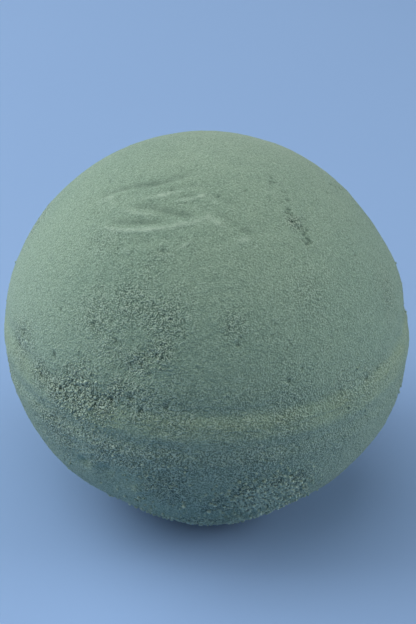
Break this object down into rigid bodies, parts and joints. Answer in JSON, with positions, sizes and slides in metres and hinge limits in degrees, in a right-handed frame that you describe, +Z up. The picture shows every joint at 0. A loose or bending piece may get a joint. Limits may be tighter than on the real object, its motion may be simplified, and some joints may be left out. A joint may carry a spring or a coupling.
{
  "type": "floral foam ball",
  "caption": "Sage green floral foam ball, made from two half balls bonded at the equator, with a pressed flat to stand on.",
  "frame": {"origin": "middle of the pressed flat under the ball, on the surface it stands on", "axes": "+Z up through the middle of the lower half and square to the joint between the halves, +X to the viewer's right and -Y towards the viewer, where the lower half stands proud at the joint"},
  "size_m": [0.1211, 0.121, 0.1141],
  "materials": {
    "foam": "dry, powdery, open-celled, with no shine",
    "adhesive": "set adhesive, slightly glossy"
  },
  "bodies": {
    "root": {"lower_half_ball": "foam", "glue_film": "adhesive", "upper_half_ball": "foam"}
  },
  "joints": []
}
